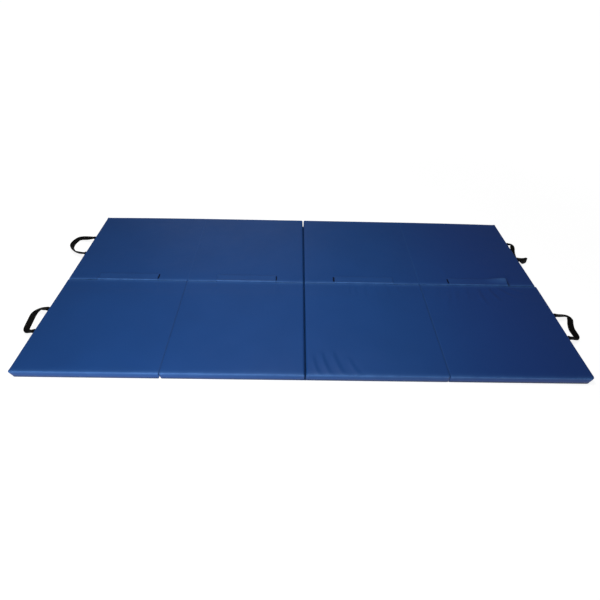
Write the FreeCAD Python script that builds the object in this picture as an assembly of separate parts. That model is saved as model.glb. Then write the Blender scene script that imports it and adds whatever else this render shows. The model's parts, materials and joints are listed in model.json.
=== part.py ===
import FreeCAD, Part
import math
import os
from FreeCAD import Vector as V

# A folding gym mat, 4 x 8 ft and 1.5 in thick: two halves of four foam panels
# each, lying side by side and joined by four hook-and-loop flaps.
# +X runs along the mat, +Y to the half the flaps fasten on, +Z up, z = 0 the floor.

PITCH = 610.0        # one panel along the mat, fold line to fold line
DEPTH = 610.0        # one half across the mat, edge to middle line
THICK = 38.0         # panel thickness
SKIN = 0.8           # coated vinyl
FOLD_GAP = 6.0       # between the walls of two panels at a fold line
MID_GAP = 3.0        # between the two halves
FOAM_PLAY = 0.1      # foam to cover, all round

R_TOP = 4.5          # outer top edges
R_BOTTOM = 4.0       # outer bottom edges
R_OPEN = 8.0         # the edge a fold opens at
R_HINGE = 1.2        # the edge carrying the fold's web
R_MID = 4.0          # top edges along the middle line
R_CORNER = 4.0       # corners seen from above, at the mat's ends
R_INNER = 3.0        # the other corners seen from above
R_SMALLEST = 0.3     # no rounding gets smaller than this inside the cover

STRIP_INSET = 6.0    # the web stops short of the panel's front and back
STRIP_FREE = 0.3     # kept between the web and the panel it is not fixed to

ZIP_LENGTH = 566.0
ZIP_Z = 18.0
TAPE_HEIGHT, TAPE_THICK = 18.0, 0.6
COIL_HEIGHT, COIL_THICK = 5.0, 0.6
COIL_SHORT = 4.0     # coil and mouth end this far inside the tapes
MOUTH_SHORT = 8.0
SLOT_HEIGHT = 3.0    # the mouth in the cover behind the zip
SLIDER_LENGTH, SLIDER_HEIGHT, SLIDER_THICK = 11.0, 8.0, 1.2
SLIDER_FREE = 0.3    # slider over the coil
SLIDER_CORNER = 2.0
PULL_LENGTH, PULL_WIDTH, PULL_HOLE = 13.0, 6.0, 1.5
PULL_BACK = 0.3      # the pull is this much thinner than the slider
SLIDER_END = 14.0    # slider centre from the end of its zip

FLAP_CENTRES = (-922.0, -308.0, 308.0, 922.0)
FLAP_LENGTH, FLAP_REACH = 310.0, 52.0
FLAP_START = 0.3     # the flap's root, just over the middle line
FLAP_CORNER = 6.0
TAPE_START, TAPE_REACH = 13.0, 36.0   # the hook and loop tapes across the mat
TAPE_LENGTH = 300.0
TAPE_CORNER = 2.0
LOOP_SHOWS = 6.0     # the loop patch runs this far past the flap, at its end nearer the middle
LOOP_THICK, HOOK_THICK = 0.8, 0.7
HOOK_FREE = 0.3      # pile of the two tapes, left open

STRAP_WIDTH, STRAP_THICK = 26.0, 1.6
HANDLE_Y = 305.0     # middle of each handle, from the middle line
HANDLE_BASE = 156.0  # outer edge to outer edge of the two strap ends
HANDLE_REACH = 1345.0
HANDLE_ROOT_Z = 33.0
HANDLE_ROOT_GAP = 3.0    # hinge line to end wall
HANDLE_SLOPE = 14.5      # degrees, from the root down to the floor
HANDLE_OUTER_R, HANDLE_INNER_R, HANDLE_ROOT_R = 26.0, 6.0, 0.5
ANCHOR_LOW, ANCHOR_HIGH = 8.0, 31.5

END = 2 * PITCH
NEAR = MID_GAP / 2                # the back half's wall at the middle line
ROW_MIDDLE = (NEAR + DEPTH) / 2


def rounded_profile(u0, u1, v0, v1, radii):
    """Rectangle outline in (u, v); radii go anticlockwise from the corner (u0, v0)."""
    corners = [(u0, v0), (u1, v0), (u1, v1), (u0, v1)]
    points = []
    for (u, v), r in zip(corners, radii):
        su = 1 if u == u0 else -1
        sv = 1 if v == v0 else -1
        along_u = (u + su * r, v)
        along_v = (u, v + sv * r)
        bend = 1 - math.sqrt(0.5)
        middle = (u + su * r * bend, v + sv * r * bend)
        first = su == sv
        points.append((along_v, middle, along_u) if first else (along_u, middle, along_v))
    return points


def prism(points, place, sweep):
    """Solid from a rounded outline, placed by place(u, v) and swept along a vector."""
    edges = []
    for i, (start, middle, end) in enumerate(points):
        following = points[(i + 1) % len(points)][0]
        edges.append(Part.Arc(place(*start), place(*middle), place(*end)).toShape())
        edges.append(Part.makeLine(place(*end), place(*following)))
    return Part.Face(Part.Wire(edges)).extrude(sweep)


def cushion(x0, x1, y0, y1, z0, z1, side, end, plan):
    """Box with rounded edges: side radii seen along Y, end radii along X, plan along Z."""
    along_y = prism(rounded_profile(x0, x1, z0, z1, side),
                    lambda u, v: V(u, y0 - 1, v), V(0, y1 - y0 + 2, 0))
    along_x = prism(rounded_profile(y0, y1, z0, z1, end),
                    lambda u, v: V(x0 - 1, u, v), V(x1 - x0 + 2, 0, 0))
    along_z = prism(rounded_profile(x0, x1, y0, y1, plan),
                    lambda u, v: V(u, v, z0 - 1), V(0, 0, z1 - z0 + 2))
    return along_y.common(along_x).common(along_z)


def plate(x0, x1, y0, y1, z0, z1, radius):
    """Flat plate lying in X and Y with rounded corners."""
    return prism(rounded_profile(x0, x1, y0, y1, (radius,) * 4),
                 lambda u, v: V(u, v, z0), V(0, 0, z1 - z0))


def block(x0, x1, y0, y1, z0, z1):
    return Part.makeBox(x1 - x0, y1 - y0, z1 - z0, V(x0, y0, z0))


def panel_span(number):
    """Wall positions of panel 1 to 4 along the mat."""
    left = (number - 3) * PITCH
    x0 = left if number == 1 else left + FOLD_GAP / 2
    x1 = left + PITCH if number == 4 else left + PITCH - FOLD_GAP / 2
    return x0, x1


def panel_radii(number):
    """Edge radii of one panel: seen along Y, along X and from above."""
    hinge_low, open_low = (R_HINGE, R_OPEN), (R_OPEN, R_HINGE)   # (bottom, top)
    outer = (R_BOTTOM, R_TOP)
    left = {1: outer, 2: open_low, 3: hinge_low, 4: open_low}[number]
    right = {1: open_low, 2: hinge_low, 3: open_low, 4: outer}[number]
    side = (left[0], right[0], right[1], left[1])
    end = (R_BOTTOM, R_BOTTOM, R_TOP, R_MID)
    left_plan = R_CORNER if number == 1 else R_INNER
    right_plan = R_CORNER if number == 4 else R_INNER
    return side, end, (R_INNER, R_INNER, right_plan, left_plan)


def inset_cushion(number, inset):
    """A back panel's rounded box, taken in by the same amount all round."""
    x0, x1 = panel_span(number)
    side, end, plan = [tuple(max(r - inset, R_SMALLEST) for r in radii)
                       for radii in panel_radii(number)]
    return cushion(x0 + inset, x1 - inset, NEAR + inset, DEPTH - inset,
                   inset, THICK - inset, side, end, plan)


def zip_side(number):
    """Wall the zip is sewn on, and the direction that wall faces."""
    x0, x1 = panel_span(number)
    return (x1, 1) if number in (1, 3) else (x0, -1)


def on_wall(wall, out, start, thick, y0, y1, z0, z1):
    """Block standing off a wall from start to start + thick."""
    near = wall + out * start
    far = near + out * thick
    return block(min(near, far), max(near, far), y0, y1, z0, z1)


def cover(number):
    """Sewn vinyl skin of one panel, with the mouth its foam goes in by."""
    skin = inset_cushion(number, 0).cut(inset_cushion(number, SKIN))
    wall, out = zip_side(number)
    half = ZIP_LENGTH / 2 - MOUTH_SHORT
    mouth = on_wall(wall, out, -2 * SKIN, 3 * SKIN, ROW_MIDDLE - half, ROW_MIDDLE + half,
                    ZIP_Z - SLOT_HEIGHT / 2, ZIP_Z + SLOT_HEIGHT / 2)
    return skin.cut(mouth)


def foam(number):
    return inset_cushion(number, SKIN + FOAM_PLAY)


def zip_tape(number):
    """The zip's two tapes and its coil, closed along their whole length."""
    wall, out = zip_side(number)
    y0, y1 = ROW_MIDDLE - ZIP_LENGTH / 2, ROW_MIDDLE + ZIP_LENGTH / 2
    tape = on_wall(wall, out, 0, TAPE_THICK, y0, y1,
                   ZIP_Z - TAPE_HEIGHT / 2, ZIP_Z + TAPE_HEIGHT / 2)
    coil = on_wall(wall, out, 0, TAPE_THICK + COIL_THICK, y0 + COIL_SHORT,
                   y1 - COIL_SHORT, ZIP_Z - COIL_HEIGHT / 2, ZIP_Z + COIL_HEIGHT / 2)
    return tape.fuse(coil).removeSplitter()


def zip_slider(number):
    """Slider over the coil with its pull hanging down; facing zips start at opposite ends."""
    wall, out = zip_side(number)
    toward = 1 if number in (1, 4) else -1
    y = ROW_MIDDLE + toward * (ZIP_LENGTH / 2 - SLIDER_END)
    start = TAPE_THICK + COIL_THICK + SLIDER_FREE
    body = on_wall(wall, out, start, SLIDER_THICK, y - SLIDER_LENGTH / 2,
                   y + SLIDER_LENGTH / 2, ZIP_Z - SLIDER_HEIGHT / 2,
                   ZIP_Z + SLIDER_HEIGHT / 2)
    corners = [e for e in body.Edges if abs(e.tangentAt(e.FirstParameter).x) > 0.99]
    body = body.makeFillet(SLIDER_CORNER, corners)
    pull = on_wall(wall, out, start + PULL_BACK, SLIDER_THICK - PULL_BACK,
                   y - PULL_WIDTH / 2, y + PULL_WIDTH / 2, ZIP_Z - PULL_LENGTH, ZIP_Z)
    hole = Part.makeCylinder(PULL_HOLE, FOLD_GAP,
                             V(wall - FOLD_GAP / 2, y, ZIP_Z - PULL_LENGTH + 2 * PULL_HOLE),
                             V(1, 0, 0))
    return body.fuse(pull).cut(hole).removeSplitter()


def hinge_strip(first):
    """Web between panels first and first + 1, fixed to the first."""
    line = (first - 2) * PITCH
    low = 0.0 if first == 2 else THICK - SKIN
    return block(line - FOLD_GAP / 2, line + FOLD_GAP / 2 - STRIP_FREE,
                 NEAR + STRIP_INSET, DEPTH - STRIP_INSET, low, low + SKIN)


def loop_patch(number):
    """Sewn on the back half; the flap doesn't cover its end nearer the middle of the mat."""
    middle = FLAP_CENTRES[number - 1]
    ends = [middle - TAPE_LENGTH / 2, middle + TAPE_LENGTH / 2]
    if middle < 0:
        ends[1] = middle + FLAP_LENGTH / 2 + LOOP_SHOWS
    else:
        ends[0] = middle - FLAP_LENGTH / 2 - LOOP_SHOWS
    return plate(ends[0], ends[1], TAPE_START, TAPE_START + TAPE_REACH,
                 THICK, THICK + LOOP_THICK, TAPE_CORNER)


def hook_base():
    return THICK + LOOP_THICK + HOOK_FREE


def flap_hook(number):
    middle = FLAP_CENTRES[number - 1]
    return plate(middle - TAPE_LENGTH / 2, middle + TAPE_LENGTH / 2, TAPE_START,
                 TAPE_START + TAPE_REACH, hook_base(), hook_base() + HOOK_THICK, TAPE_CORNER)


def join_flap(number):
    middle = FLAP_CENTRES[number - 1]
    low = hook_base() + HOOK_THICK
    return plate(middle - FLAP_LENGTH / 2, middle + FLAP_LENGTH / 2, FLAP_START,
                 FLAP_REACH, low, low + SKIN, FLAP_CORNER)


def handle():
    """Strap loop at the right end, from its two roots out to the floor."""
    root = END + HANDLE_ROOT_GAP
    length = (HANDLE_REACH - root) / math.cos(math.radians(HANDLE_SLOPE))
    half = HANDLE_BASE / 2
    outside = prism(rounded_profile(root, root + length, HANDLE_Y - half, HANDLE_Y + half,
                                    (HANDLE_ROOT_R, HANDLE_OUTER_R, HANDLE_OUTER_R,
                                     HANDLE_ROOT_R)),
                    lambda u, v: V(u, v, HANDLE_ROOT_Z - STRAP_THICK / 2),
                    V(0, 0, STRAP_THICK))
    inner = half - STRAP_WIDTH
    inside = prism(rounded_profile(root - STRAP_WIDTH, root + length - STRAP_WIDTH,
                                   HANDLE_Y - inner, HANDLE_Y + inner,
                                   (HANDLE_ROOT_R, HANDLE_INNER_R, HANDLE_INNER_R,
                                    HANDLE_ROOT_R)),
                   lambda u, v: V(u, v, HANDLE_ROOT_Z - STRAP_THICK),
                   V(0, 0, 2 * STRAP_THICK))
    loop = outside.cut(inside)
    loop.rotate(V(root, 0, HANDLE_ROOT_Z), V(0, 1, 0), HANDLE_SLOPE)
    return loop


def handle_anchor():
    """The strap's two ends, sewn flat on the right end wall under the loop."""
    half = HANDLE_BASE / 2
    tabs = [on_wall(END, 1, 0, STRAP_THICK, y, y + STRAP_WIDTH, ANCHOR_LOW, ANCHOR_HIGH)
            for y in (HANDLE_Y - half, HANDLE_Y + half - STRAP_WIDTH)]
    return Part.makeCompound(tabs)


def flipped(shape, axis):
    """Mirror image through the middle of the mat, along X or Y."""
    return shape.mirror(V(0, 0, 0), axis)


def save(shape, name):
    shape.exportStep("parts/" + name + ".step")


def save_both_halves(shape, name, rest):
    """The front half is the mirror image of the back half."""
    save(shape, name + "_back_" + rest)
    save(flipped(shape, V(0, 1, 0)), name + "_front_" + rest)


os.makedirs("parts", exist_ok=True)
for number in (1, 2, 3, 4):
    for maker, name in ((cover, "cover"), (foam, "foam"), (zip_tape, "zip_tape"),
                        (zip_slider, "zip_slider")):
        save_both_halves(maker(number), name, str(number))
    for maker, name in ((loop_patch, "loop_patch"), (flap_hook, "flap_hook"),
                        (join_flap, "join_flap")):
        save(maker(number), name + "_" + str(number))
for first in (1, 2, 3):
    save_both_halves(hinge_strip(first), "hinge_strip", "%d%d" % (first, first + 1))
for maker, name in ((handle, "handle"), (handle_anchor, "handle_anchor")):
    save_both_halves(maker(), name, "right")
    save_both_halves(flipped(maker(), V(1, 0, 0)), name, "left")
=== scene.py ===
# %% [markdown]
# # A folding gym mat, dressed over its CAD frame
#
# The frame is eight thin foam panels in two halves of four. Each panel is a block of foam in a
# sewn cover of coated vinyl. This lesson replaces the plain CAD solids with pieces that look
# like what they are: taut vinyl over foam, thin vinyl webs at the folds, hook-and-loop flaps
# over the middle line, black webbing handles and the zips hidden in the folds.
# Everything is in metres, in the frame's own axes: +X along the mat, +Y to the half that the
# flaps fasten on, +Z up, and z = 0 is the floor.

# %% Load the frame and keep its box
import json
import math

import bmesh
import bpy
import numpy as np
from mathutils import Matrix, Vector

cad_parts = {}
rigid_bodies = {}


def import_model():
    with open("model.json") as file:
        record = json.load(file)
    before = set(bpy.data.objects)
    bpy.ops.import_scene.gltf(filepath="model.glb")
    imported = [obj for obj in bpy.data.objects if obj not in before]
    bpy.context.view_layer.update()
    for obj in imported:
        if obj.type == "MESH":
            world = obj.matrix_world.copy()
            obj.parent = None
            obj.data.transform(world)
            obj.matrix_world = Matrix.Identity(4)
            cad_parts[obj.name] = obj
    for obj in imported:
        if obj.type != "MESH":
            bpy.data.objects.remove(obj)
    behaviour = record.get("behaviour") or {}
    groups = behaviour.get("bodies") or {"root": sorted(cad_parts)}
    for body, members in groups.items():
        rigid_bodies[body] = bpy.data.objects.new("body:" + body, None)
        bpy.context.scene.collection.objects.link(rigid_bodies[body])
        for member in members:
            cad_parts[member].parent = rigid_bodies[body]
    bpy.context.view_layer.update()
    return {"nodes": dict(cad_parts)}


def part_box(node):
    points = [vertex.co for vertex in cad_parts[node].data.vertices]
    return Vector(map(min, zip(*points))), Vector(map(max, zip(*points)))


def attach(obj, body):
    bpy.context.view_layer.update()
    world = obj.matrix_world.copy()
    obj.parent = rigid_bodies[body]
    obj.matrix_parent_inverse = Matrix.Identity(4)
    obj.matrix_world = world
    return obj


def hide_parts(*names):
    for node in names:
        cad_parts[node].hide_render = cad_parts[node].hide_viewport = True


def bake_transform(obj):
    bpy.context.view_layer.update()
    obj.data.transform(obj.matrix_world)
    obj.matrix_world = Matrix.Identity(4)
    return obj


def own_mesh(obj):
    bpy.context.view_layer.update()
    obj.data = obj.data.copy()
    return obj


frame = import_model()

# %% [markdown]
# The driving sizes come from the frame, so that the looks can't drift away from the CAD. A
# cover's box gives the panel's place; the flap's box gives the flap's.

# %% Driving sizes
MM = 0.001
ROWS = ("back", "front")
NUMBERS = (1, 2, 3, 4)
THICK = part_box("cover_back_1")[1].z
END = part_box("cover_back_4")[1].x
FOLD_X = {"12": -END / 2, "23": 0.0, "34": END / 2}
HALF_GAP = abs(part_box("cover_back_3")[0].x)
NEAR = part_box("cover_back_1")[0].y
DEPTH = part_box("cover_back_1")[1].y
print("panel thickness %.1f mm, mat %.0f x %.0f mm" % (THICK / MM, 2 * END / MM, 2 * DEPTH / MM))

# %% [markdown]
# ## Small tools
#
# Every piece is a mesh made from rows of points. A modelled cube with modifiers could stand for
# a panel too, but cloth over foam is a surface with a little relief everywhere, and rows of
# points let a formula say how high each one lies. `new_piece` turns points into an object.

# %% A piece from points
def new_piece(name, points, faces, material, smooth=True):
    """A mesh object from points and faces, linked to the scene."""
    mesh = bpy.data.meshes.new(name)
    mesh.from_pydata([tuple(map(float, p)) for p in points], [], faces)
    mesh.update()
    if smooth:
        mesh.shade_smooth()
    mesh.materials.append(material)
    piece = bpy.data.objects.new(name, mesh)
    bpy.context.scene.collection.objects.link(piece)
    return piece


# %% [markdown]
# Rows of points become faces by joining each row to the next. A row that is a closed ring makes
# a tube, which is how straps, webs and flaps get their two sides and their edges in one go.

# %% Faces between rows of points
def grid_faces(rows, columns, start=0, closed=False):
    """Quads between neighbouring rows of points; closed joins each row's end to its start."""
    last = columns if closed else columns - 1
    faces = []
    for i in range(rows - 1):
        for j in range(last):
            k = (j + 1) % columns
            a, b = start + i * columns, start + (i + 1) * columns
            faces.append((a + j, a + k, b + k, b + j))
    return faces


def tube_faces(ring_count, size):
    """Faces of a tube of rings, with a face over each open end."""
    last = ring_count * size - 1
    ends = [tuple(range(size)), tuple(range(last, last - size, -1))]
    return grid_faces(ring_count, size, closed=True) + ends


def face_outwards(piece):
    """Turns every face of a closed mesh to face outwards."""
    work = bmesh.new()
    work.from_mesh(piece.data)
    bmesh.ops.recalc_face_normals(work, faces=work.faces)
    work.to_mesh(piece.data)
    work.free()
    return piece


print("a tube of 3 rings of 4 points has", len(tube_faces(3, 4)), "faces")

# %% [markdown]
# Wear and dirt aren't the same all over, so each point of a mesh can carry numbers that its
# material reads. `smooth_step` is the soft ramp from 0 to 1 used for most of them.

# %% Numbers on the points
def point_value(piece, name, values):
    """A number on each point of the mesh, for the material to read."""
    layer = piece.data.attributes.new(name, "FLOAT", "POINT")
    layer.data.foreach_set("value", np.asarray(values, np.float32))


def smooth_step(x):
    """A ramp that leaves 0 and reaches 1 without a kink."""
    x = np.clip(x, 0, 1)
    return x * x * (3 - 2 * x)


def lies_to_the_right(points):
    """1 towards the right end, where a violet tint is painted in for the light's colour, and 0
    further left.
    """
    return smooth_step((points[:, 0] - 0.35) / 0.75)


print("soft ramp at a quarter:", float(smooth_step(0.25)))

# %% [markdown]
# ## Materials
#
# Each material is built from nodes. `principled` gives a shader with its fixed settings, and
# the small helpers below add noise, mixes and bumps at sizes given in millimetres, so that the
# grain has its real scale.

# %% Material tools
class Recipe:
    """A material being built: its node tree, its shader and a few short-cuts."""

    def __init__(self, name, roughness, **fixed):
        self.material = bpy.data.materials.new(name)
        self.material.use_nodes = True
        self.tree = self.material.node_tree
        self.shader = self.tree.nodes["Principled BSDF"]
        self.shader.inputs["Roughness"].default_value = roughness
        for key, value in fixed.items():
            self.shader.inputs[key.replace("_", " ")].default_value = value

    def node(self, kind, **settings):
        made = self.tree.nodes.new(kind)
        for key, value in settings.items():
            setattr(made, key, value)
        return made

    def link(self, a, b):
        self.tree.links.new(a, b)

    def place(self, source="Object"):
        return self.node("ShaderNodeTexCoord").outputs[source]

    def noise(self, size_mm, detail=2.0, stretch=(1, 1, 1), source="Object"):
        """Noise whose spots are about size_mm across."""
        mapping = self.node("ShaderNodeMapping")
        mapping.inputs["Scale"].default_value = stretch
        self.link(self.place(source), mapping.inputs["Vector"])
        noise = self.node("ShaderNodeTexNoise")
        noise.inputs["Scale"].default_value = 1000.0 / size_mm
        noise.inputs["Detail"].default_value = detail
        self.link(mapping.outputs["Vector"], noise.inputs["Vector"])
        return noise.outputs["Fac"]

    def span(self, value, low, high, to_low=0.0, to_high=1.0):
        """Maps low..high of a value to to_low..to_high."""
        ranger = self.node("ShaderNodeMapRange")
        for key, number in zip(("From Min", "From Max", "To Min", "To Max"),
                               (low, high, to_low, to_high)):
            ranger.inputs[key].default_value = number
        self.link(value, ranger.inputs["Value"])
        return ranger.outputs["Result"]

    def read(self, name):
        """A number painted on the mesh's points."""
        return self.node("ShaderNodeAttribute", attribute_name=name).outputs["Fac"]

    def sums(self, how, a, b):
        adder = self.node("ShaderNodeMath", operation=how)
        for socket, value in zip(adder.inputs, (a, b)):
            if isinstance(value, (int, float)):
                socket.default_value = value
            else:
                self.link(value, socket)
        return adder.outputs["Value"]

    def blend(self, share, first, second):
        """A colour between two others, either of which may be a colour or another node's."""
        mixer = self.node("ShaderNodeMix", data_type="RGBA")
        self.link(share, mixer.inputs["Factor"])
        for socket, colour in zip((mixer.inputs[6], mixer.inputs[7]), (first, second)):
            if isinstance(colour, tuple):
                socket.default_value = (*colour, 1.0)
            else:
                self.link(colour, socket)
        return mixer.outputs[2]

    def bump(self, height, depth_mm, below=None):
        """A bump of that depth, stacked on another."""
        bump = self.node("ShaderNodeBump")
        bump.inputs["Distance"].default_value = depth_mm * MM
        self.link(height, bump.inputs["Height"])
        if below is not None:
            self.link(below, bump.inputs["Normal"])
        return bump.outputs["Normal"]

    def finish(self, colour=None, roughness=None, normal=None):
        for value, name in ((colour, "Base Color"), (roughness, "Roughness"),
                            (normal, "Normal")):
            if isinstance(value, tuple):
                self.shader.inputs[name].default_value = (*value, 1.0)
            elif value is not None:
                self.link(value, self.shader.inputs[name])
        return self.material


print("steps of a recipe:", [name for name in vars(Recipe) if not name.startswith("_")])

# %% [markdown]
# The vinyl is a knitted base cloth with a soft blue coating. Close to, it has a fine pebble
# grain about a millimetre across with the threads of the cloth faintly showing through;
# further off, the blue drifts a little in hand-sized patches. The long top edges are paler
# and duller: partly rubbed, partly a painted highlight for the light on their rounding. The
# foot of the walls is darkened with painted shade, and towards the right end a painted violet
# tint stands in for the colour of the light. Three numbers on the points steer these: one is
# 1 on the pale edges, one is 1 where shade is painted, and one is 1 at the right end.
# The shader's specular level is low: a soft coating has a wide dull sheen and no glare.

# %% Blue vinyl
VINYL_DEEP = (0.0098, 0.0530, 0.2020)
VINYL_LIGHT = (0.0106, 0.0565, 0.2140)
# pale edges: wear, and painted highlight where the rounded edges catch the light
VINYL_WORN_AND_HIGHLIGHT = (0.0550, 0.1550, 0.4000)
# painted violet tint that stands in for the colour of the light at the right end
VINYL_TINTED_BY_LIGHT = (0.0108, 0.0450, 0.2060)
# painted shade: the dark that stands in for shade at the foot of the walls, in the front creases
# and by the raised flap
VINYL_PAINTED_SHADE = (0.0040, 0.0110, 0.0330)


def make_vinyl():
    vinyl = Recipe("blue_vinyl", 0.42, Specular_IOR_Level=0.16)
    patches = vinyl.span(vinyl.noise(220, detail=2), 0.3, 0.7)
    colour = vinyl.blend(patches, VINYL_DEEP, VINYL_LIGHT)
    # painted tint for the light's colour at the right end
    colour = vinyl.blend(vinyl.read("drift"), colour, VINYL_TINTED_BY_LIGHT)
    uneven = vinyl.span(vinyl.noise(45), 0.3, 0.7, 0.6, 1)
    # pale edges, partly wear and partly painted highlight
    rub = vinyl.sums("MULTIPLY", vinyl.read("wear"), uneven)
    colour = vinyl.blend(vinyl.sums("MULTIPLY", rub, 0.62), colour, VINYL_WORN_AND_HIGHLIGHT)
    # painted shade, read from the points and made patchy
    shade_patches = vinyl.span(vinyl.noise(30), 0.3, 0.7, 0.7, 1)
    shade_paint = vinyl.sums("MULTIPLY", vinyl.read("grime"), shade_patches)
    colour = vinyl.blend(shade_paint, colour, VINYL_PAINTED_SHADE)
    pebbles = vinyl.node("ShaderNodeTexVoronoi", feature="SMOOTH_F1")
    pebbles.inputs["Scale"].default_value = 1000.0 / 1.3
    vinyl.link(vinyl.place(), pebbles.inputs["Vector"])
    normal = vinyl.bump(pebbles.outputs["Distance"], 0.10)
    normal = vinyl.bump(vinyl.noise(0.9, stretch=(1, 0.25, 1)), 0.03, normal)
    normal = vinyl.bump(vinyl.noise(45, detail=2), 0.25, normal)
    dull = vinyl.span(vinyl.noise(60, detail=4), 0.3, 0.7, 0.40, 0.46)
    return vinyl.finish(colour, vinyl.sums("ADD", dull, vinyl.sums("MULTIPLY", rub, 0.12)),
                        normal)


blue_vinyl = make_vinyl()
print("nodes in the vinyl:", len(blue_vinyl.node_tree.nodes))

# %% [markdown]
# Webbing is woven flat strap. Its yarns make a rib across the strap about every 1.4 mm and a
# chevron up the middle, and its edges are a tight roll. The strap meshes carry `along` and
# `across` in millimetres, so the ribs follow the strap round its bends.

# %% Black webbing
def ribs(recipe, coordinate, pitch_mm, phase=None):
    """A wave of that pitch along a coordinate in millimetres."""
    turns = recipe.sums("MULTIPLY", coordinate, 2 * math.pi / pitch_mm)
    if phase is not None:
        turns = recipe.sums("ADD", turns, phase)
    return recipe.sums("SINE", turns, 0.0)


def make_webbing():
    strap = Recipe("black_webbing", 0.62, Specular_IOR_Level=0.1)
    along, across = strap.read("along"), strap.read("across")
    slant = strap.sums("MULTIPLY", strap.sums("ABSOLUTE", across, 0.0), 1.6)
    weave = ribs(strap, along, 1.5, phase=slant)
    weave = strap.sums("MULTIPLY", weave, strap.span(ribs(strap, across, 1.3), -1, 1, 0.35, 1))
    fuzz = strap.noise(0.6)
    colour = strap.blend(strap.span(weave, -1, 1), (0.0011, 0.0010, 0.0010),
                         (0.0027, 0.0025, 0.0025))
    colour = strap.blend(strap.span(strap.noise(25), 0.45, 0.75, 0.0, 0.35), colour,
                         (0.0065, 0.0063, 0.0063))
    normal = strap.bump(strap.span(weave, -1, 1), 0.28)
    return strap.finish(colour, strap.span(fuzz, 0.3, 0.7, 0.55, 0.75),
                        strap.bump(fuzz, 0.06, normal))


black_webbing = make_webbing()
print("nodes in the webbing:", len(black_webbing.node_tree.nodes))

# %% [markdown]
# Hook tape is a field of tiny stiff hooks in rows, so its bump is a nearly regular pattern of
# dots. Loop tape is its soft partner: a dull, fuzzy pile in tufts a few millimetres across.

# %% Hook tape and loop tape
def make_hook_tape():
    hooks = Recipe("hook_tape", 0.38, Specular_IOR_Level=0.45)
    dots = hooks.node("ShaderNodeTexVoronoi", feature="F1")
    dots.inputs["Scale"].default_value = 1000.0 / 1.5
    dots.inputs["Randomness"].default_value = 0.25
    hooks.link(hooks.place(), dots.inputs["Vector"])
    height = hooks.span(dots.outputs["Distance"], 0.15, 0.45, 1.0, 0.0)
    colour = hooks.blend(height, (0.004, 0.009, 0.030), (0.012, 0.026, 0.080))
    return hooks.finish(colour, hooks.span(height, 0, 1, 0.6, 0.35), hooks.bump(height, 0.6))


def make_loop_tape():
    loops = Recipe("loop_tape", 0.9, Specular_IOR_Level=0.1)
    fuzz = loops.noise(0.7, detail=6)
    tufts = loops.noise(6, detail=3)
    colour = loops.blend(loops.span(tufts, 0.35, 0.65), (0.0030, 0.0060, 0.0190),
                         (0.0050, 0.0100, 0.0310))
    return loops.finish(colour, None, loops.bump(tufts, 0.4, loops.bump(fuzz, 0.35)))


hook_tape = make_hook_tape()
loop_tape = make_loop_tape()
print("materials so far:", len(bpy.data.materials))

# %% [markdown]
# The thread is navy and slightly waxy, and its twist is a noise drawn out along it. The foam
# is white and matt, with open cells about a millimetre and a half across.

# %% Thread and foam
def make_thread():
    thread = Recipe("navy_thread", 0.6, Specular_IOR_Level=0.2)
    twist = thread.noise(0.5, stretch=(1, 1, 3))
    colour = thread.blend(twist, (0.008, 0.035, 0.135), (0.012, 0.055, 0.205))
    return thread.finish(colour, None, thread.bump(twist, 0.08))


def make_foam():
    foam = Recipe("white_foam", 0.95)
    cells = foam.node("ShaderNodeTexVoronoi", feature="DISTANCE_TO_EDGE")
    cells.inputs["Scale"].default_value = 1000.0 / 1.6
    foam.link(foam.place(), cells.inputs["Vector"])
    walls = foam.span(cells.outputs["Distance"], 0.0, 0.12)
    colour = foam.blend(walls, (0.55, 0.55, 0.53), (0.78, 0.78, 0.76))
    return foam.finish(colour, None, foam.bump(walls, 0.3))


navy_thread = make_thread()
white_foam = make_foam()
print("materials so far:", len(bpy.data.materials))

# %% [markdown]
# A zip has three finishes: a knitted tape with a little sheen, a smooth plastic coil, and a
# slider of painted metal that is rubbed bright where it is touched.

# %% Zip tape, coil and slider
def make_zip_tape():
    tape = Recipe("zip_tape", 0.8, Sheen_Weight=0.3)
    knit = tape.noise(0.8, detail=3, stretch=(1, 0.5, 1.6))
    colour = tape.blend(tape.span(knit, 0.3, 0.7), (0.003, 0.006, 0.022), (0.010, 0.018, 0.055))
    return tape.finish(colour, None, tape.bump(knit, 0.15))


def make_coil():
    coil = Recipe("zip_coil", 0.4, Specular_IOR_Level=0.5)
    colour = coil.blend(coil.noise(3), (0.004, 0.007, 0.022), (0.009, 0.015, 0.045))
    return coil.finish(colour, coil.span(coil.noise(2), 0.3, 0.7, 0.32, 0.48))


def make_zip_metal():
    metal = Recipe("black_metal", 0.35, Metallic=0.6)
    rub = metal.span(metal.noise(1.2, detail=5), 0.58, 0.72)
    colour = metal.blend(rub, (0.012, 0.012, 0.013), (0.16, 0.16, 0.165))
    return metal.finish(colour, metal.span(metal.noise(0.8), 0.3, 0.7, 0.28, 0.45),
                        metal.bump(metal.noise(0.5), 0.02))


zip_cloth = make_zip_tape()
zip_coil = make_coil()
black_metal = make_zip_metal()
print("materials:", len(bpy.data.materials))

# %% [markdown]
# ## The padded panels
#
# A real panel is cut from foam plank, slid into a sewn box of vinyl and zipped shut. The vinyl
# is taut, so the panel is a flat cushion: a slightly crowned top, walls that bulge a touch
# between their corners, and rounded edges. The edges are not all alike. Where two panels are
# joined by a web they meet with sharp edges, and on the opposite side, where the fold opens,
# the cover's edge is round and leaves a V-shaped groove.
#
# Which edge has which radius depends on the panel's number. Panels 1-2 and 3-4 hinge at the
# top and open at the bottom; panels 2-3 hinge at the bottom and open at the top.

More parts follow.
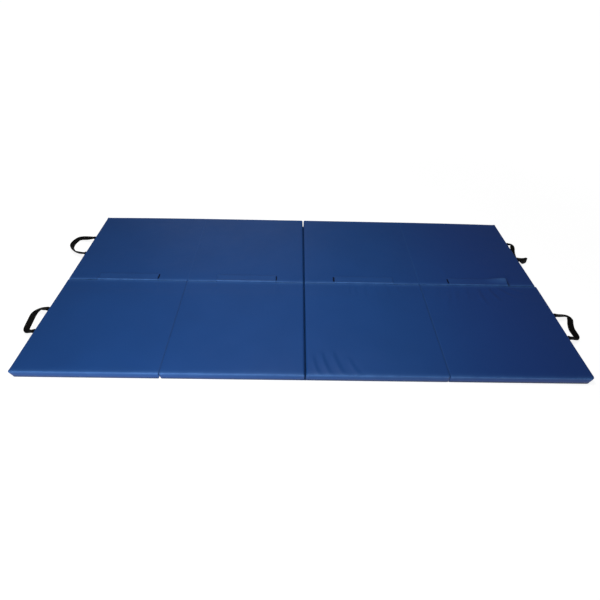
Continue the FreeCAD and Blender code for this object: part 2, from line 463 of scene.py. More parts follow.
# %% The edge radii of one panel
R_TOP = 4.0 * MM            # outer edges
R_BOTTOM = 3.5 * MM
R_MID = 4.0 * MM            # along the middle line
R_MIDDLE_FOLD = 8.5 * MM    # the open side of the fold in the middle
R_WEB = 1.2 * MM            # its hinged side
R_HINGE = {"front": 1.1 * MM, "back": 0.5 * MM}     # the hinged side of the other folds
R_OPEN = {                                          # their open side, (row, right half)
    ("front", False): 9 * MM, ("front", True): 0.8 * MM,
    ("back", False): 7 * MM, ("back", True): 7 * MM}
R_INNER_CORNER = 3 * MM     # upright corners
R_END_CORNER = {
    ("front", 1): 6 * MM, ("front", 4): 16 * MM,
    ("back", 1): 3 * MM, ("back", 4): 3 * MM}


def panel_radii(row, number):
    """Radii as {(side, level): radius}, sides x0, x1, y0, y1 and levels top, bottom."""
    outer = {"top": R_TOP, "bottom": R_BOTTOM}
    top_hinge = {"top": R_HINGE[row], "bottom": R_OPEN[(row, number > 2)]}
    bottom_hinge = {"top": R_MIDDLE_FOLD, "bottom": R_WEB}
    middle_line = {"top": R_MID, "bottom": R_BOTTOM}
    left = {1: outer, 2: top_hinge, 3: bottom_hinge, 4: top_hinge}[number]
    right = {1: top_hinge, 2: bottom_hinge, 3: top_hinge, 4: outer}[number]
    near, far = (middle_line, outer) if row == "back" else (outer, middle_line)
    sides = {"x0": left, "x1": right, "y0": near, "y1": far}
    corner = {}
    for right_end in (False, True):
        for far_side in (False, True):
            at_end = (number == 4 and right_end) or (number == 1 and not right_end)
            outside = far_side == (row == "back")
            corner[(right_end, far_side)] = R_INNER_CORNER
            if at_end and outside:
                corner[(right_end, far_side)] = R_END_CORNER[(row, number)]
    return sides, corner


print("open edge of the front's left folds: %.1f mm" % (R_OPEN[("front", False)] / MM))

# %% [markdown]
# The surface is one grid for the top, one for the underside and rows of points between their
# borders for the walls. Grid lines are packed into the rounded edges by stepping round the
# quarter circle, which gives smooth edges without wasting points on the flat. A bevel modifier
# would round every edge alike; here each side has its own radius.

# %% Stepping round an edge
ROUND_STEPS = 6


def grid_lines(low, high, radius_low, radius_high, middle_count):
    """Positions from low to high, stepping round an arc of each end's radius."""
    angles = np.linspace(0, math.pi / 2, ROUND_STEPS + 1)
    start = low + radius_low * (1 - np.cos(angles))
    end = high - radius_high * (1 - np.cos(angles[::-1]))
    middle = np.linspace(start[-1], end[0], middle_count + 2)[1:-1]
    return np.concatenate([start, middle, end])


def edge_drop(distance, radius):
    """How far the surface falls away near an edge rounded to that radius."""
    inside = np.clip(radius - distance, 0, radius)
    return radius - np.sqrt(np.maximum(radius**2 - inside**2, 0))


def round_corners(x, y, box, corner):
    """Pulls the points near a panel's four upright corners in to a round."""
    x0, x1, y0, y1 = box
    for cx, sx in ((x0, 1), (x1, -1)):
        for cy, sy in ((y0, 1), (y1, -1)):
            radius = corner[(cx == x1, cy == y1)]
            u = (radius - (x - cx) * sx) / radius
            v = (radius - (y - cy) * sy) / radius
            near = (u > 0) & (v > 0)
            u, v = np.where(near, u, 0), np.where(near, v, 0)
            length = np.hypot(u, v)
            share = np.where(near, np.maximum(u, v) / np.maximum(length, 1e-9), 1)
            x = np.where(near, cx + sx * radius * (1 - u * share), x)
            y = np.where(near, cy + sy * radius * (1 - v * share), y)
    return x, y


print("grid lines over 10 mm:", grid_lines(0, 10, 2, 2, 1).round(2))

# %% [markdown]
# ## Relief: what makes it cloth
#
# The relief is a height over the flat top. It has a soft crown, a faint pull along the seams,
# the gentle heave of a skin that is a hair too large for its block, and long shallow wrinkles.
# The heave is a cloth simulation: a square of cloth, sewn all round and let settle, whose
# heights are read off and capped, because the foam holds the real skin almost flat. Each
# wrinkle is a ridge along a line that fades at both ends. The listed ones are where the
# cover visibly puckers: beside the middle flaps, and at the near left corner of the third
# panel of the front half. The rest are drawn at random, small and sparse, from a fixed seed.

# %% Listed wrinkles
PLACED_WRINKLES = {   # start x, start y, end x, end y, height, width (all in millimetres)
    "front_3": [(28, -490, 78, -655, 2.6, 10), (66, -468, 130, -655, 2.7, 10),
                (114, -460, 190, -655, 2.3, 11), (180, -500, 262, -655, 1.8, 11),
                (232, -20, 236, -100, 1.3, 9), (262, -20, 268, -120, 1.7, 9),
                (312, -16, 318, -130, 1.8, 10), (372, -16, 384, -110, 1.6, 9),
                (425, -14, 440, -95, 1.6, 9), (480, -14, 505, -90, 1.2, 9)],
    "front_4": [(700, -14, 680, -110, 1.4, 10), (755, -14, 738, -130, 1.6, 10),
                (800, -14, 772, -150, 2.2, 11), (850, -14, 838, -130, 1.9, 10),
                (905, -14, 925, -180, 2.8, 12), (960, -14, 1010, -150, 3.1, 11),
                (1010, -14, 1095, -105, 3.1, 10), (1070, -14, 1160, -60, 2.0, 9),
                (760, -50, 700, -230, 1.4, 13)],
    "front_2": [(-150, -20, -120, -110, 0.9, 11), (-450, -25, -480, -120, 0.8, 12)],
    "front_1": [(-760, -22, -735, -120, 0.9, 12)],
    "back_3": [(160, 62, 150, 160, 0.8, 12), (455, 60, 480, 150, 0.6, 12)],
    "back_4": [(770, 70, 745, 170, 1.0, 12), (1080, 70, 1120, 150, 0.9, 12)],
}


print("wrinkles placed:", sum(map(len, PLACED_WRINKLES.values())))

# %% [markdown]
# A ridge has a bell-shaped cross-section with a shallow valley beside it, because the cloth in
# the ridge is pulled in from there. Its line bends a little, and it rises faster than it dies.

# %% One wrinkle, and a few strays
def wrinkle_height(x, y, wrinkle):
    """Height of one ridge, which fades at its ends, at each point."""
    x0, y0, x1, y1, height, width = [value * MM for value in wrinkle]
    along = np.array([x1 - x0, y1 - y0])
    length = np.hypot(*along)
    along = along / length
    s = (x - x0) * along[0] + (y - y0) * along[1]
    t = -(x - x0) * along[1] + (y - y0) * along[0] + 0.06 * length * np.sin(s / length * 3)
    fade = smooth_step(s / length * 4) * smooth_step((length - s) / length * 1.6)
    ridge = np.exp(-(t / width) ** 2) - 0.45 * np.exp(-((t - 1.6 * width) / width) ** 2)
    return height * ridge * fade


def stray_wrinkles(draw, box, count):
    """A few faint wrinkles drawn at random inside a panel."""
    x0, x1, y0, y1 = (value / MM for value in box)
    found = []
    for _ in range(count):
        x, y = draw.uniform(x0 + 70, x1 - 70), draw.uniform(y0 + 70, y1 - 70)
        angle, length = draw.uniform(0, math.pi), draw.uniform(60, 170)
        dx, dy = length * math.cos(angle), length * math.sin(angle)
        ends = np.clip([x + dx], x0 + 15, x1 - 15)[0], np.clip([y + dy], y0 + 15, y1 - 15)[0]
        found.append((x, y, *ends, draw.uniform(0.15, 0.4), draw.uniform(12, 24)))
    return found


print("a stray wrinkle:", np.round(stray_wrinkles(np.random.default_rng(0), (0, 1, 0, 1), 1)))

# %% [markdown]
# The settling cloth is a square pinned round its border and made a few thousandths too large.
# Gravity is off, since the foam carries the skin; the slack alone makes it heave. Its points
# start a fraction of a millimetre up or down, so that it has a way to go, from the panel's own
# seed, so that each run gives the same skin.

# %% Cloth that settles
SKIN_POINTS = 56        # along each side of the cloth
SKIN_FRAMES = 24
SKIN_SLACK = 0.003      # how much larger the cloth is than its sewn border
START_ROUGH = 0.4       # millimetres
STIFFNESS = 40
BENDING = 8


def cloth_skin(draw, side):
    """Heights of a square of cloth, a little too large for its sewn border, after it settles."""
    line = np.linspace(0, side, SKIN_POINTS)
    x, y = np.meshgrid(line, line)
    start = draw.uniform(-START_ROUGH, START_ROUGH, x.shape) * MM
    skin = new_piece("skin", np.stack([x, y, start], -1).reshape(-1, 3),
                     grid_faces(SKIN_POINTS, SKIN_POINTS), blue_vinyl)
    sewn = (x == 0) | (x == side) | (y == 0) | (y == side)
    skin.vertex_groups.new(name="sewn").add(np.flatnonzero(sewn).tolist(), 1.0, "REPLACE")
    cloth = skin.modifiers.new("cloth", "CLOTH")
    cloth.settings.vertex_group_mass = "sewn"
    cloth.settings.tension_stiffness = STIFFNESS
    cloth.settings.compression_stiffness = STIFFNESS
    cloth.settings.bending_stiffness = BENDING
    cloth.settings.shrink_min = -SKIN_SLACK
    cloth.settings.effector_weights.gravity = 0.0
    cloth.collision_settings.use_collision = False
    cloth.point_cache.frame_end = SKIN_FRAMES
    for step in range(1, SKIN_FRAMES + 1):
        bpy.context.scene.frame_set(step)
    settled = skin.evaluated_get(bpy.context.evaluated_depsgraph_get()).to_mesh()
    places = np.empty(3 * len(settled.vertices))
    settled.vertices.foreach_get("co", places)
    bpy.data.objects.remove(skin)
    bpy.context.scene.frame_set(1)
    return places.reshape(SKIN_POINTS, SKIN_POINTS, 3)[:, :, 2]


def height_at(heights, side, x, y):
    """Reads a square table of heights between its points."""
    u = np.clip(x / side, 0, 1) * (SKIN_POINTS - 1)
    v = np.clip(y / side, 0, 1) * (SKIN_POINTS - 1)
    i = np.clip(v.astype(int), 0, SKIN_POINTS - 2)
    j = np.clip(u.astype(int), 0, SKIN_POINTS - 2)
    a, b = smooth_step(v - i), smooth_step(u - j)
    near = heights[i, j] * (1 - b) + heights[i, j + 1] * b
    far = heights[i + 1, j] * (1 - b) + heights[i + 1, j + 1] * b
    return near * (1 - a) + far * a


print("cloth points per skin:", SKIN_POINTS**2)

# %% [markdown]
# A panel's relief adds these up, and fades to nothing at the rounded edge. The strip of the
# front half beside the middle line is set a little lower than the rest. Nobody would see that
# on the real mat: it only leaves room for the opened flaps, which come down on it, where real
# foam would give way.

# %% The relief of one panel
CROWN = 0.9 * MM
CROWN_RAMP = 160 * MM   # the crown is full this far from the edge
SEAM_PULL = 0.35 * MM
SEAM_REACH = 12 * MM
EDGE_FADE = 10 * MM
STRAYS = 5
SKIN_FULL = 5 * MM      # the free cloth would heave about this far
SKIN_CAP = 0.6 * MM     # over foam it heaves no more than this
LANDING = 115 * MM      # the strip of the front half that the opened flaps lie on
LANDING_SINK = 1.2 * MM
LANDING_TOP = -0.1 * MM


def panel_relief(label, box, draw):
    """Returns a function of (x, y) that gives the top's height over the flat."""
    wrinkles = PLACED_WRINKLES.get(label, []) + stray_wrinkles(draw, box, STRAYS)
    x0, x1, y0, y1 = box
    side = max(x1 - x0, y1 - y0)
    slack = cloth_skin(draw, side)
    slack = SKIN_CAP * np.tanh(slack / SKIN_FULL)

    def relief(x, y):
        from_edge = np.minimum(np.minimum(x - x0, x1 - x), np.minimum(y - y0, y1 - y))
        share = np.clip(from_edge / CROWN_RAMP, 0, 1)
        from_seam = np.minimum(y - y0, y1 - y)
        height = CROWN * np.sin(share * math.pi / 2)
        height = height - SEAM_PULL * np.exp(-from_seam / SEAM_REACH)
        height = height + height_at(slack, side, x - x0, y - y0)
        for wrinkle in wrinkles:
            height = height + wrinkle_height(x, y, wrinkle)
        if label.startswith("front"):
            beside = smooth_step((LANDING + y) / (0.5 * LANDING))
            sunk = np.minimum(height - LANDING_SINK, LANDING_TOP)
            height = height * (1 - beside) + sunk * beside
        return height * smooth_step(from_edge / EDGE_FADE)

    return relief


print("crown: %.1f mm" % (CROWN / MM))

# %% [markdown]
# The mat's outline isn't the exact rectangle of its blocks, so the covers stand proud of them
# at the two ends and along the far edge, most at the top and least at the foot. The amounts
# were fitted to the outline as the camera below sees it. Some of that may be loose cloth and
# some the camera's own error, and nothing here can tell the two apart. The blocks keep their
# CAD size; only the cover moves, in a ramp, so that nothing kinks.

# %% How far a cover stands proud
END_RAMP = 90 * MM
FAR_REACH = 14 * MM
FAR_EASE = 0.72         # the far edge stands out less towards its corners
FOOT_SHARE = 0.1        # of the reach is left at the foot of the wall
END_REACH = {           # (row, side): at the middle line and at the outer corner, in millimetres
    ("front", -1): (5.5, 9.5), ("front", 1): (10.0, 6.5),
    ("back", -1): (4.5, 4.5), ("back", 1): (5.5, 3.0)}


def end_reach(row, side, y_share):
    """How far a cover's end wall stands out past its block, from the middle line outwards."""
    at_middle, at_corner = END_REACH[(row, side)]
    return (at_middle + (at_corner - at_middle) * smooth_step(y_share * 1.25)) * MM


def lean(z):
    """The walls stand out at the top and run back in to the foot."""
    return FOOT_SHARE + (1 - FOOT_SHARE) * smooth_step(z / THICK * 1.15)


def reach_out(points, row, number):
    """The cover stands proud of its block at the mat's ends and along the far edge."""
    y_share = np.clip(np.abs(points[:, 1]) / DEPTH, 0, 1)
    if number in (1, 4):
        out = -1 if number == 1 else 1
        ramp = smooth_step(1 - np.abs(points[:, 0] - out * END) / END_RAMP)
        points[:, 0] += out * end_reach(row, out, y_share) * ramp * lean(points[:, 2])
    if row == "back":
        share_x = np.clip(points[:, 0] / END, -1, 1)
        ramp = smooth_step(1 - np.abs(points[:, 1] - DEPTH) / END_RAMP)
        reach = FAR_REACH * (1 - FAR_EASE * share_x**4)
        points[:, 1] += reach * ramp * lean(points[:, 2])
    return points


print("front right end wall: %.1f mm proud" % (end_reach("front", 1, 0) / MM))

# %% [markdown]
# Two small things tell a sewn cover from a block. Its corners stick out like ears, because the
# seams of three sides meet there. And where two panels share a top fold, the walls past the
# zip's ends swell until they nearly meet, which leaves a notch lower down.

# %% Corners and the ends of folds
EAR_SPREAD = 13 * MM
FOLD_SWELL = 2.4 * MM
FOLD_SPREAD = 5 * MM
FOLD_END = 19 * MM


def pull_corners(points, box, thick, ears):
    """Sewn corners stick out: moves the points near each upright corner out and up a little."""
    x0, x1, y0, y1 = box
    for (right_end, far_side), size in ears.items():
        corner_x, out_x = (x1, 1) if right_end else (x0, -1)
        corner_y, out_y = (y1, 1) if far_side else (y0, -1)
        away = np.hypot(points[:, 0] - corner_x, points[:, 1] - corner_y)
        share = np.exp(-(away / EAR_SPREAD) ** 2) * smooth_step(points[:, 2] / thick * 1.2 - 0.1)
        points = points + np.outer(share * size, [out_x * 0.7, out_y * 0.7, 0.3])
    return points


def close_fold_ends(points, box, thick, walls):
    """Past the zip's ends, the walls of two panels at a top fold swell until they nearly meet."""
    x0, _, y0, y1 = box
    lowest = -0.15 if (x0 > 0 and y0 < -0.1) else 0.22      # one fold is closed to the floor
    for wall, out in walls:
        from_wall = np.abs(points[:, 0] - wall)
        from_end = np.minimum(points[:, 1] - y0, y1 - points[:, 1])
        level = np.clip((points[:, 2] / thick - lowest) / (0.88 - lowest), 0, 1)
        share = np.exp(-(from_wall / FOLD_SPREAD) ** 2) * smooth_step(1 - from_end / FOLD_END)
        points[:, 0] += out * FOLD_SWELL * share * np.sin(level * math.pi) ** 0.6
    return points


print("a fold's walls close over the last %.0f mm" % (FOLD_END / MM))

# %% [markdown]
# The walls bulge between their seams and are drawn in along the seam near the top. Their foot
# is darkened with painted shade, more towards the right end. The same number darkens one place
# on top, behind and beside the flap that stands up. That stands in for the shade there, which
# the soft lights leave too pale; it is paint, so it stays when the flap is opened.

# %% Bulging walls and painted shade
FOLD_WALL_SHARE = 0.3    # the walls inside a fold bulge less than the outer ones


def wall_swell(share, bulge):
    """How far a wall stands out at a share of its height, from 0 at the top to 1 at the foot."""
    seam = math.exp(-((share - 0.1) / 0.07) ** 2)
    return bulge * (math.sin(math.pi * share) - 0.45 * seam)


def foot_shade(points, on_wall, height, place):
    """Painted shade along the foot of the walls, and by the flap that stands up."""
    # painted shade along the foot of the walls, stronger towards the right end
    shade_strength = 0.6 + 0.3 * smooth_step(points[:, 0] / END)
    shade_paint = shade_strength * on_wall * smooth_step(1.7 - height / 0.27)
    if place == ("back", 4):
        x, y = points[:, 0] / MM, points[:, 1] / MM
        behind = np.exp(-((y - 56) / 5) ** 2) * smooth_step((x - 985) / 40)
        beside = np.exp(-((x - 1086) / 6) ** 2) * smooth_step((60 - y) / 10)
        shade_paint = shade_paint + 0.75 * np.maximum(behind * (x < 1090), beside) * (points[:, 2] > 30 * MM)
    return np.clip(shade_paint, 0, 1)


print("bulge at half height: %.2f of its most" % wall_swell(0.5, 1))

# %% [markdown]
# The top and the underside are grids of the same lines, and their borders are joined by rings
# of points that make the walls. Each ring lies between the two borders and moves outwards by
# the wall's swell, along the one side that it belongs to.

# %% The grids and the walls
WALL_ROWS = 9
WALL_FADE = 30 * MM      # the bulge dies out this far from an upright corner


def level_grid(box, sides, corner, level, count):
    """Grid points of the top or the underside, before relief, and how far each edge drops."""
    x0, x1, y0, y1 = box
    xs = grid_lines(x0, x1, sides["x0"][level], sides["x1"][level], count)
    ys = grid_lines(y0, y1, sides["y0"][level], sides["y1"][level], count)
    x, y = np.meshgrid(xs, ys)
    drops = [edge_drop(x - x0, sides["x0"][level]), edge_drop(x1 - x, sides["x1"][level]),
             edge_drop(y - y0, sides["y0"][level]), edge_drop(y1 - y, sides["y1"][level])]
    drop = sum(d**3 for d in drops) ** (1 / 3)
    plan_x, plan_y = round_corners(x, y, box, corner)
    return plan_x, plan_y, drop


def border(rows, columns):
    """Indices round the edge of a grid, anticlockwise."""
    index = np.arange(rows * columns).reshape(rows, columns)
    return np.concatenate([index[0, :-1], index[:-1, -1], index[-1, :0:-1], index[:0:-1, 0]])


def wall_ring(upper, lower, share, box, bulge, outer):
    """One ring of wall points at a share of the way down from the upper to the lower border."""
    x0, x1, y0, y1 = box
    centre = np.array([(x0 + x1) / 2, (y0 + y1) / 2, 0])
    ring = upper * (1 - share) + lower * share
    out = np.sign(ring - centre) * [1, 1, 0]
    near_x = np.minimum(ring[:, 0] - x0, x1 - ring[:, 0])
    near_y = np.minimum(ring[:, 1] - y0, y1 - ring[:, 1])
    on_x_wall = near_x < near_y
    out[:, 0] *= on_x_wall
    out[:, 1] *= ~on_x_wall
    along = np.where(on_x_wall, near_y, near_x)
    swell = wall_swell(share, bulge) * smooth_step(along / WALL_FADE)
    at_fold = on_x_wall & ~np.isin(np.sign(ring[:, 0] - centre[0]), list(outer))
    swell = np.where(at_fold, FOLD_WALL_SHARE * swell, swell)
    return ring + out * swell[:, None]


def block_faces(rows, columns, loop, wall_rows):
    """Faces of two grids and of the rings of wall points that lie between their borders."""
    size = rows * columns
    faces = grid_faces(rows, columns)
    faces += [face[::-1] for face in grid_faces(rows, columns, start=size)]
    walls = [2 * size + i * len(loop) + np.arange(len(loop)) for i in range(wall_rows)]
    rings = [loop] + walls + [size + loop]
    for upper, lower in zip(rings, rings[1:]):
        for j in range(len(loop)):
            k = (j + 1) % len(loop)
            faces.append((int(upper[k]), int(upper[j]), int(lower[j]), int(lower[k])))
    return faces


print("points round the border of a 4 x 5 grid:", len(border(4, 5)))

# %% [markdown]
# `cushion` puts these together into one closed block and paints pale edges, violet tint and
# painted shade on its points. The pale edges, partly wear and partly painted highlight, are
# strongest on the long edges, near the top, where hands and feet go.

# %% Build one panel
WALL_BULGE = 1.6 * MM
WEAR_AND_HIGHLIGHT_SPREAD = 6 * MM
WALL_SPREAD = 4 * MM


def paint_cushion(piece, points, box, flat_points, thick, place):
    """Puts wear with painted highlight, a painted tint and painted shade on a cushion; flat_points
    are the points before reaching out.
    """
    x0, x1, y0, y1 = box
    x, y, z = flat_points.T
    from_y_wall = np.minimum(y - y0, y1 - y)
    from_x_wall = np.minimum(x - x0, x1 - x)
    height = np.clip(z / thick, 0, 1)
    # long top edges: partly wear, partly painted highlight where the rounded edge catches the
    # light
    wear = 1.3 * np.exp(-np.clip(from_y_wall, 0, None) / WEAR_AND_HIGHLIGHT_SPREAD)
    on_wall = np.exp(-np.clip(np.minimum(from_x_wall, from_y_wall), 0, None) / WALL_SPREAD)
    point_value(piece, "wear", wear * smooth_step((height - 0.6) / 0.35))
    # painted tint for the light's colour at the right end
    point_value(piece, "drift", lies_to_the_right(points))
    # painted shade at the foot of the walls and by the raised flap
    point_value(piece, "grime", foot_shade(points, on_wall, height, place))


def cushion(name, box, thick, sides, corner, relief, material, count=88, bulge=WALL_BULGE,
            inset=0.0, ears=(), closing=(), outer=(), place=("", 0)):
    """A closed padded block: crowned top, flat underside and softly bulging walls."""
    grids = {}
    for level in ("top", "bottom"):
        x, y, drop = level_grid(box, sides, corner, level, count)
        lift = relief(x, y) if level == "top" else 0
        z = inset + (thick - 2 * inset - drop + lift if level == "top" else drop)
        grids[level] = np.stack([x, y, z], -1)
    rows, columns = grids["top"].shape[:2]
    top, bottom = grids["top"].reshape(-1, 3), grids["bottom"].reshape(-1, 3)
    loop = border(rows, columns)
    walls = [wall_ring(top[loop], bottom[loop], share, box, bulge, outer)
             for share in np.linspace(0, 1, WALL_ROWS + 2)[1:-1]]
    flat_points = np.concatenate([top, bottom, *walls])
    points = pull_corners(flat_points, box, thick, dict(ears))
    points = close_fold_ends(points.copy(), box, thick, closing)
    points = reach_out(points, *place)
    faces = block_faces(rows, columns, loop, WALL_ROWS)
    piece = face_outwards(new_piece(name, points, faces, material))
    paint_cushion(piece, points, box, flat_points, thick, place)
    return piece


print("rows of points in a wall:", WALL_ROWS)

# %% [markdown]
# Each cover replaces its CAD cover and rides on its panel. Inside it, the foam block is a
# second, plainer cushion; it only shows if a zip is opened, but it is there. The four outer
# corners of the mat stick out a little, as sewn corners do.

# %% What differs from panel to panel
SKIN = 0.8 * MM
FOAM_PLAY = 0.5 * MM
FOAM_SETTLES = 4.5 * MM
EAR = 2.0 * MM
panels = {}


def panel_box(row, number):
    low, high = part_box("cover_%s_%d" % (row, number))
    return low.x, high.x, low.y, high.y


def settled_foam(x, y):
    """The foam's top lies a little under the skin, so that no pucker touches it."""
    return np.full_like(x, -FOAM_SETTLES)


def corner_ears(row, number):
    """How far each sewn corner of a cover sticks out, by (right end, far side)."""
    outside = row == "back"
    if number == 1:
        return {(False, outside): EAR}
    if number == 4:
        return {(True, outside): EAR}
    return {}


def closing_walls(box, number):
    """The wall at the panel's top fold, and the direction it faces."""
    return [(box[1], 1)] if number in (1, 3) else [(box[0], -1)]


print("box of the first panel:", np.round(panel_box("back", 1), 3))

# %% [markdown]
# Each panel draws its strays and its skin from its own seed, so that changing one leaves the
# others alone.

# %% Make the eight covers and their foam
def make_panel(row, number):
    label = "%s_%d" % (row, number)
    draw = np.random.default_rng(100 * ROWS.index(row) + number)
    box = panel_box(row, number)
    sides, corner = panel_radii(row, number)
    cover = cushion("vinyl_cover_" + label, box, THICK, sides, corner,
                    panel_relief(label, box, draw), blue_vinyl, ears=corner_ears(row, number),
                    closing=closing_walls(box, number), place=(row, number),
                    outer={1: (-1,), 4: (1,)}.get(number, ()))
    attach(cover, "panel_" + label)
    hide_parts("cover_" + label)
    inset = SKIN + FOAM_PLAY
    inner = (box[0] + inset, box[1] - inset, box[2] + inset, box[3] - inset)
    block = cushion("foam_block_" + label, inner, THICK, sides, corner, settled_foam,
                    white_foam, count=8, bulge=0.0, inset=inset)
    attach(block, "panel_" + label)
    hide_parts("foam_" + label)
    panels[label] = cover


for row in ROWS:
    for number in NUMBERS:
        make_panel(row, number)
print("panels:", len(panels), "points each:", len(panels["back_1"].data.vertices))

# %% [markdown]
# ## Webs at the folds
#
# Between two panels the cover carries on as a narrow web of the same vinyl. It is tucked under
# both edges and dips a little between them, which is the shallow crease seen on the top. The
# web is one sheet laid where the mat lies flat; it rides on neither panel. In the back
# half it follows the far edge out, as the covers do, so that no gap opens at the fold's end.

# %% The shape of a web
WEB_TUCK = 2.6 * MM
WEB_THICK = 0.7 * MM
WEB_DIP = {"back": 0.1 * MM, "front": 0.6 * MM}
WEB_SUNK = {"back": 0.15 * MM, "front": 0.45 * MM}
WEB_REACH = HALF_GAP + WEB_TUCK
WEB_COLUMNS, WEB_ROWS = 13, 60
WEB_PAST_MIDDLE = 0.9 * MM      # its end at the middle line
WEB_SHORT = 1.5 * MM            # its end at the outer edge
# painted shade in the creases of the front half's folds
WEB_CREASE_SHADE = {"back": 0.0, "front": 0.3}
WEB_WEAR = 0.1
NO_END = 0                      # a web's place along the mat isn't an end panel's


def web_rings(row, pair):
    """Rings of points across a web, upper side and lower side, from its near to its far end."""
    near, far = (NEAR, DEPTH) if row == "back" else (-DEPTH, -NEAR)
    across = np.linspace(-WEB_REACH, WEB_REACH, WEB_COLUMNS)
    first_cut = -WEB_PAST_MIDDLE if row == "back" else WEB_SHORT
    last_cut = WEB_SHORT if row == "back" else -WEB_PAST_MIDDLE
    ys = grid_lines(near + first_cut, far - last_cut, R_MID, R_MID, WEB_ROWS)
    y, x = np.meshgrid(ys, across, indexing="ij")
    from_end = np.clip(np.minimum(y - near, far - y), 0, None)
    dip = WEB_DIP[row] * np.cos(np.clip(x / HALF_GAP, -1, 1) * math.pi / 2)
    dip = dip * (1 + 0.25 * np.sin(y * 70 + int(pair[0])))
    if pair != "23":
        z = THICK - WEB_SUNK[row] - dip - edge_drop(from_end, R_TOP)
        under = z - WEB_THICK
    else:
        under = 0.1 * MM + 0.4 * dip + 0 * from_end
        z = under + WEB_THICK
    upper = np.stack([x + FOLD_X[pair], y, z], -1)
    lower = np.stack([x + FOLD_X[pair], y, under], -1)
    return [np.concatenate([a, b[::-1]]) for a, b in zip(upper, lower)]


print("web: %.1f mm across" % (2 * WEB_REACH / MM))

# It is stretched cloth, cut a little wider than the gap.

# %% Make the webs
def web_strip(row, pair):
    rings = web_rings(row, pair)
    points = reach_out(np.concatenate(rings), row, NO_END)
    faces = tube_faces(len(rings), len(rings[0]))
    web = face_outwards(new_piece("fold_web_%s_%s" % (row, pair), points, faces, blue_vinyl))
    point_value(web, "wear", np.full(len(points), WEB_WEAR))
    # painted shade along the crease of the front folds
    point_value(web, "grime", np.full(len(points), WEB_CREASE_SHADE[row]))
    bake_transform(web)
    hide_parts("hinge_strip_%s_%s" % (row, pair))


for row in ROWS:
    for pair in FOLD_X:
        web_strip(row, pair)
print("webs:", 2 * len(FOLD_X))

# %% [markdown]
# ## Flaps over the middle line
#
# Each flap is a doubled strip of vinyl sewn into the top seam of the front half. It comes up
# out of the gap between the halves, bends over and lies on the back half, held by hook tape
# under it on loop tape sewn to the panel. Its bend is the light line along the middle. The
# last flap isn't pressed down at its outer end, so that end stands up off the tape.

# %% The path of a flap across the mat
FLAP_PATH = [(-0.9, 24), (-1.0, 30), (-1.0, 35), (-0.4, 38.7), (1.6, 40.7), (4.8, 41.0),
             (10, 40.5), (20, 40.2), (32, 40.2), (44, 40.2), (52, 40.2)]    # (y, z), mm
FLAP_THICK = 0.8 * MM
PATH_STEP = 1.6


def follow(path, step):
    """Points every step along a smooth curve through the path's points."""
    p = np.array(path, float)
    p = np.vstack([2 * p[0] - p[1], p, 2 * p[-1] - p[-2]])
    found = []
    for a, b, c, d in zip(p, p[1:], p[2:], p[3:]):
        count = max(1, int(round(np.linalg.norm(c - b) / step)))
        for t in np.arange(count) / count:
            found.append(0.5 * (2 * b + (c - a) * t + (2 * a - 5 * b + 4 * c - d) * t**2
                                + (3 * b - a - 3 * c + d) * t**3))
    return np.array(found + [p[-2]])


print("points along a flap's path:", len(follow(FLAP_PATH, PATH_STEP)))

# %% [markdown]
# No two flaps lie alike. Each is a little off its drawn place along the mat, its bend stands a
# little higher or lower, and its two ends stand off the tape by their own amounts. The last
# one's right end stands up by ten millimetres.

# %% How each flap lies
END_LIFTS = {1: (0.3, 0.7), 2: (0.4, 0.6), 3: (0.7, 0.5), 4: (0.8, 10.0)}   # left, right, mm
STANDS_UP = 5           # an end that lifts more than this, in millimetres, stands up
FLAP_DRIFT = {1: 0.0, 2: 4.6, 3: 9.5, 4: 3.0}     # where it lies along the mat, mm off centre
BEND_RISE = {1: 0.0, 2: 1.6, 3: 1.6, 4: 0.6}      # how much higher its bend stands, mm
LIFT_SHARE = 0.2        # of the flap's length, at an end that is only loose
HIGH_LIFT_SHARE = 0.42  # at the end that stands up


def flap_centre(number):
    """Where the flap lies along the mat: cloth never lands exactly on its drawn place."""
    low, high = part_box("join_flap_%d" % number)
    return (low.x + high.x) / 2 + FLAP_DRIFT[number] * MM


def flap_lift(number, share_x, reach):
    """How far the flap stands off its tape: share_x runs 0 to 1 along it, reach is y."""
    left, right = END_LIFTS[number]
    rise = left * smooth_step(1 - share_x / LIFT_SHARE)
    right_share = HIGH_LIFT_SHARE if right > STANDS_UP else LIFT_SHARE
    rise = rise + right * smooth_step(1 - (1 - share_x) / right_share)
    return rise * MM * smooth_step(reach / (50 * MM)) ** 0.7


print("flap centres:", [round(flap_centre(number), 3) for number in NUMBERS])

# %% [markdown]
# The sheet is swept along the path: at each point of the path there is a ring of points, the
# upper side and then the lower side back again. The path's own normal gives the thickness, the
# lift raises the lying part, and the corners of the far edge are cut round. The bend over the
# middle line and the end that stands up carry a painted highlight.

# %% Sweep a flap
FLAP_COLUMNS = 96
FLAP_CORNER = 3 * MM


